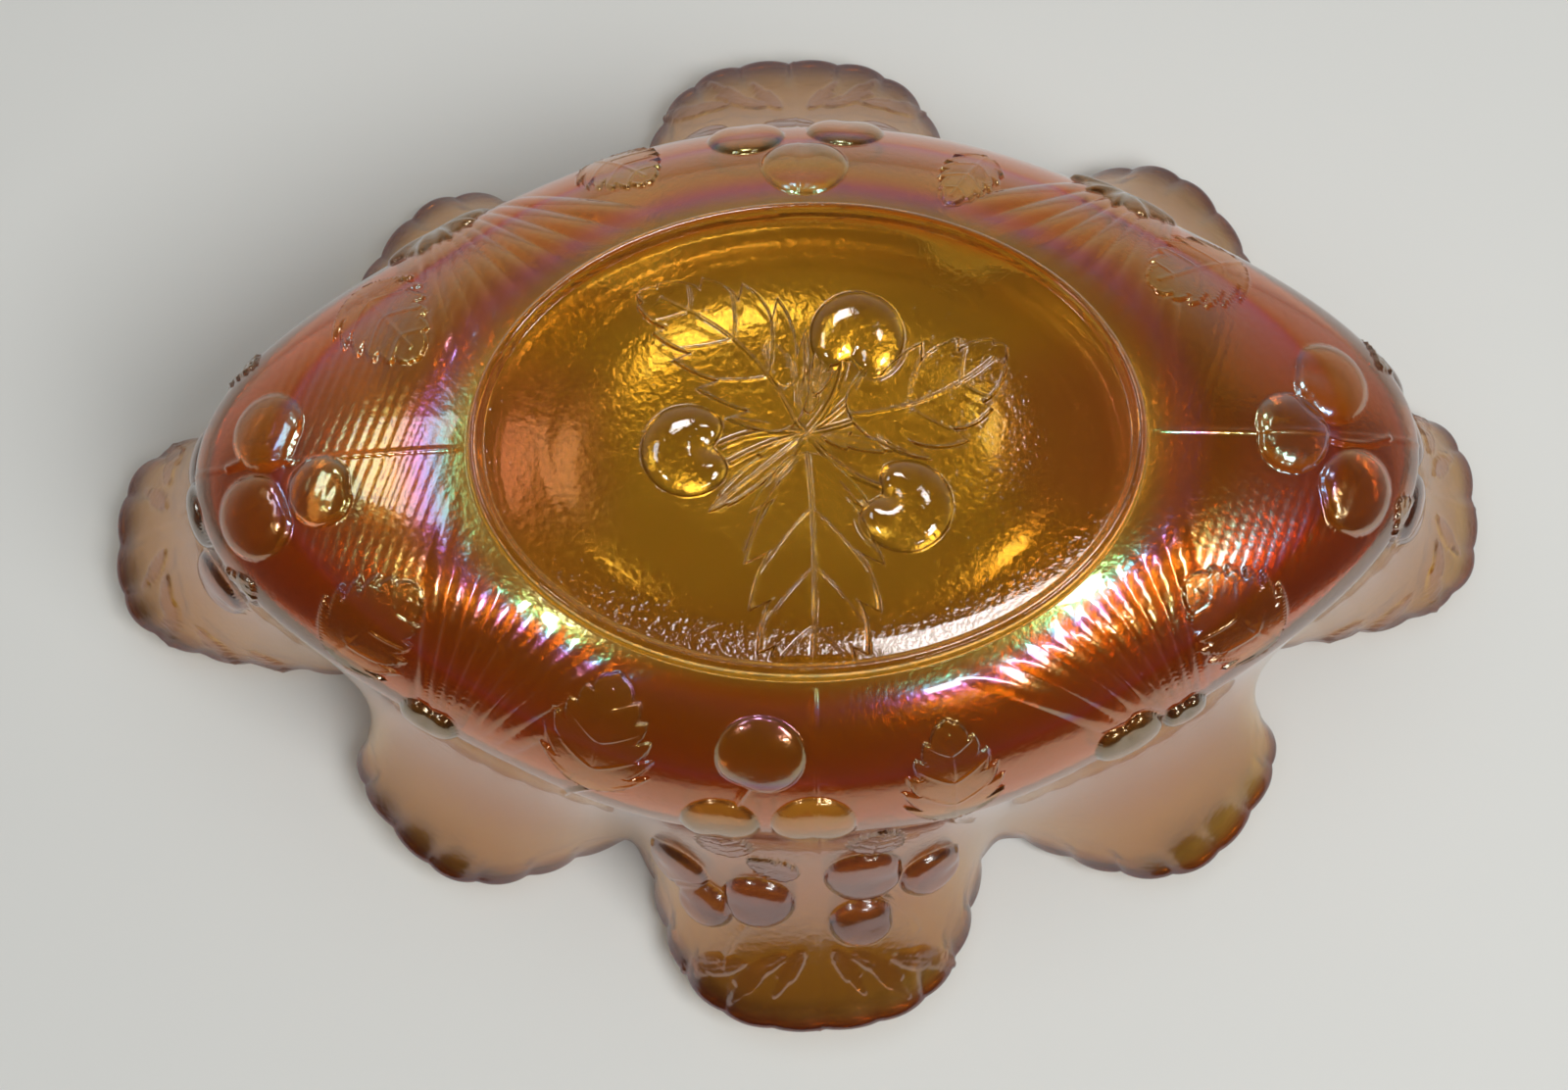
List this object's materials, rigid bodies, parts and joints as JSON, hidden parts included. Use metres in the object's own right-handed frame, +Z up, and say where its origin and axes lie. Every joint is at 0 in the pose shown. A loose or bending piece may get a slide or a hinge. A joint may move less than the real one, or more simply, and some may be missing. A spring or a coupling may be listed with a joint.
{
  "type": "carnival glass bowl",
  "caption": "Oval pressed glass bowl with a low collar foot and a ruffled rim, for fruit or display.",
  "frame": {"origin": "middle of the foot's plane, which is the middle of the bottom of the bounding box", "axes": "+Z up with the mouth of the bowl up, +X along the length, +Y across the width"},
  "size_m": [0.3062, 0.2236, 0.0952],
  "materials": {
    "marigold_glass": "smooth pressed soda-lime glass with a thin iridescent metal-salt spray, pearly and slightly uneven"
  },
  "bodies": {
    "root": {"glass_bowl": "marigold_glass"}
  },
  "joints": []
}
